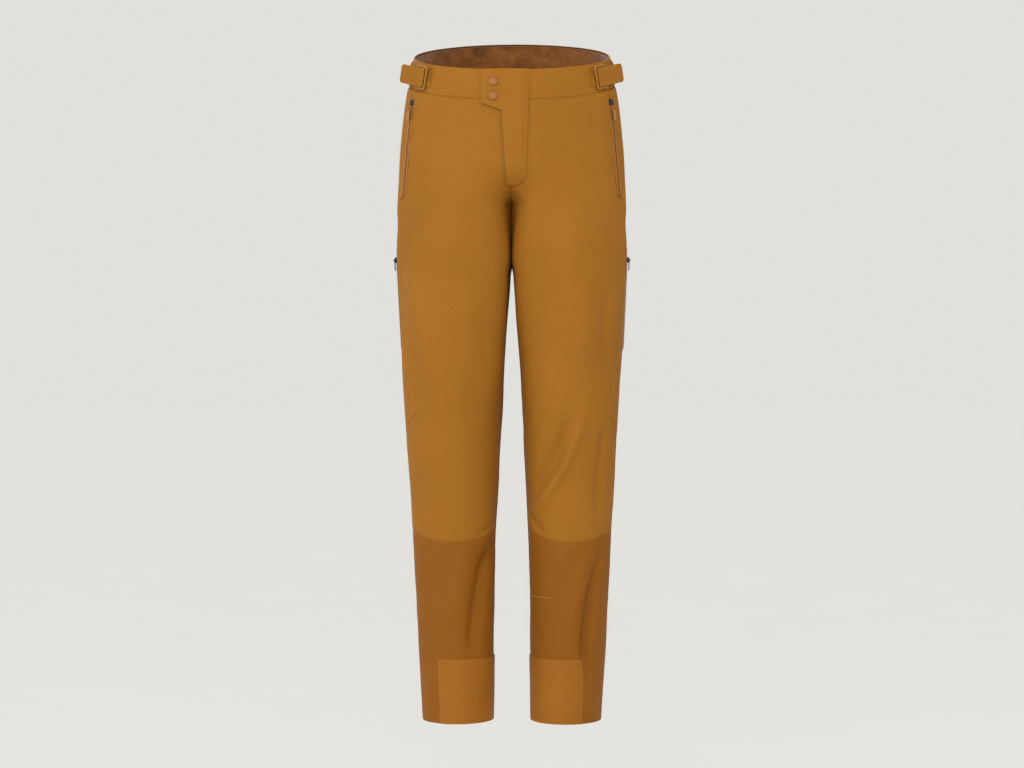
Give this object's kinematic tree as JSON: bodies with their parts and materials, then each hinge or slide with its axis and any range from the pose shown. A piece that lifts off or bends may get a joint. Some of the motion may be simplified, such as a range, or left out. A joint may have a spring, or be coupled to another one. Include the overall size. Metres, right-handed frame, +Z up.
{
  "type": "softshell mountain trousers",
  "caption": "Softshell mountain trousers with a high back waist, snapped fly flap, side waist adjusters, hand and thigh zip pockets and inner ankle kick patches.",
  "frame": {"origin": "middle of the waist opening, at half the height of the waistband at the sides, where the wearer holds the trousers up", "axes": "+Z up the body, -Y out of the front, +X to the wearer's left"},
  "size_m": [0.3698, 0.2358, 1.0654],
  "materials": {
    "softshell": "ochre woven softshell",
    "shin_cloth": "darker ochre softshell",
    "kick_cloth": "abrasion cloth",
    "lining": "brown brushed knit",
    "zip_tape": "woven tape",
    "coil": "nylon coil",
    "slider_metal": "coated zip slider",
    "pull": "moulded tongue",
    "black_tape": "black tape",
    "black_pull": "black moulded pull",
    "pocket_mesh": "brown mesh",
    "copper": "copper plated",
    "buckle": "moulded ring",
    "hook_and_loop": "hook and loop tape"
  },
  "bodies": {
    "garment": {"front_panel_left": "softshell", "back_panel_left": "softshell", "hip_side_panel_left": "softshell", "thigh_side_panel_left": "softshell", "shin_panel_left": "shin_cloth", "kick_patch_left": "kick_cloth", "front_panel_right": "softshell", "back_panel_right": "softshell", "hip_side_panel_right": "softshell", "thigh_side_panel_right": "softshell", "shin_panel_right": "shin_cloth", "kick_patch_right": "kick_cloth", "waistband_front_left": "softshell", "waistband_front_right": "softshell", "waistband_back": "softshell", "waistband_lining": "lining", "hand_zip_tape_left": "zip_tape", "hand_zip_coil_left": "coil", "hand_zip_garage_left": "black_tape", "thigh_zip_tape_left": "zip_tape", "hand_zip_tape_right": "zip_tape", "hand_zip_coil_right": "coil", "hand_zip_garage_right": "black_tape", "thigh_zip_tape_right": "zip_tape", "hand_pocket_bag_left": "pocket_mesh", "thigh_pocket_bag_left": "pocket_mesh", "hand_pocket_bag_right": "pocket_mesh", "thigh_pocket_bag_right": "pocket_mesh", "fly_zip_tape_centre": "zip_tape", "fly_zip_coil_centre": "coil", "fly_underlap": "softshell", "snap_stud_upper": "copper", "snap_stud_lower": "copper", "adjuster_strap_left": "softshell", "adjuster_keeper_left": "softshell", "adjuster_buckle_left": "buckle", "adjuster_loop_patch_left": "hook_and_loop", "adjuster_strap_right": "softshell", "adjuster_keeper_right": "softshell", "adjuster_buckle_right": "buckle", "adjuster_loop_patch_right": "hook_and_loop"},
    "hand_slider_body_left": {"hand_zip_slider_left": "slider_metal"},
    "hand_pull_body_left": {"hand_zip_pull_left": "pull"},
    "thigh_slider_body_left": {"thigh_zip_slider_left": "black_pull"},
    "thigh_pull_body_left": {"thigh_zip_pull_left": "black_pull"},
    "hand_slider_body_right": {"hand_zip_slider_right": "slider_metal"},
    "hand_pull_body_right": {"hand_zip_pull_right": "pull"},
    "thigh_slider_body_right": {"thigh_zip_slider_right": "black_pull"},
    "thigh_pull_body_right": {"thigh_zip_pull_right": "black_pull"},
    "fly_slider_body_centre": {"fly_zip_slider_centre": "slider_metal", "fly_zip_pull_centre": "pull"},
    "flap": {"fly_flap": "softshell", "snap_cap_upper": "copper", "snap_socket_upper": "copper", "snap_cap_lower": "copper", "snap_socket_lower": "copper"},
    "strap_end_body_left": {"adjuster_strap_end_left": "softshell", "adjuster_hook_patch_left": "hook_and_loop"},
    "strap_end_body_right": {"adjuster_strap_end_right": "softshell", "adjuster_hook_patch_right": "hook_and_loop"}
  },
  "joints": [
    {"name": "hand_zip_left", "type": "slide", "parent": "garment", "child": "hand_slider_body_left", "axis": [-0.0914, 0.009, 0.9958], "range_m": [-0.128, 0]},
    {"name": "hand_pull_left", "type": "hinge", "parent": "hand_slider_body_left", "child": "hand_pull_body_left", "pos_m": [0.15872, -0.04436, -0.06284], "axis": [-0.5333, -0.8449, -0.0413], "range_deg": [0, 150]},
    {"name": "thigh_zip_left", "type": "slide", "parent": "garment", "child": "thigh_slider_body_left", "axis": [0.0421, -0.1625, 0.9858], "range_m": [-0.133, 0]},
    {"name": "thigh_pull_left", "type": "hinge", "parent": "thigh_slider_body_left", "child": "thigh_pull_body_left", "pos_m": [0.1828, -0.00855, -0.29567], "axis": [0.022, -0.9863, -0.1635], "range_deg": [0, 150]},
    {"name": "hand_zip_right", "type": "slide", "parent": "garment", "child": "hand_slider_body_right", "axis": [0.0914, 0.009, 0.9958], "range_m": [-0.128, 0]},
    {"name": "hand_pull_right", "type": "hinge", "parent": "hand_slider_body_right", "child": "hand_pull_body_right", "pos_m": [-0.15872, -0.04436, -0.06284], "axis": [-0.5333, 0.8449, 0.0413], "range_deg": [0, 150]},
    {"name": "thigh_zip_right", "type": "slide", "parent": "garment", "child": "thigh_slider_body_right", "axis": [-0.0421, -0.1625, 0.9858], "range_m": [-0.133, 0]},
    {"name": "thigh_pull_right", "type": "hinge", "parent": "thigh_slider_body_right", "child": "thigh_pull_body_right", "pos_m": [-0.1828, -0.00855, -0.29567], "axis": [0.022, 0.9863, 0.1635], "range_deg": [0, 150]},
    {"name": "fly_zip_centre", "type": "slide", "parent": "garment", "child": "fly_slider_body_centre", "axis": [0, 0.0656, 0.9978], "range_m": [-0.103, 0]},
    {"name": "fly_flap_hinge", "type": "hinge", "parent": "garment", "child": "flap", "pos_m": [0.02767, -0.10392, -0.0695], "axis": [0.0352, 0.078, 0.9963], "range_deg": [0, 150]},
    {"name": "adjuster_strap_end_hinge_left", "type": "hinge", "parent": "garment", "child": "strap_end_body_left", "pos_m": [0.13542, -0.06335, -0.01785], "axis": [0.1561, 0.1616, -0.9744], "range_deg": [0, 140]},
    {"name": "adjuster_strap_end_hinge_right", "type": "hinge", "parent": "garment", "child": "strap_end_body_right", "pos_m": [-0.13542, -0.06335, -0.01785], "axis": [0.1561, -0.1616, 0.9744], "range_deg": [0, 140]}
  ]
}
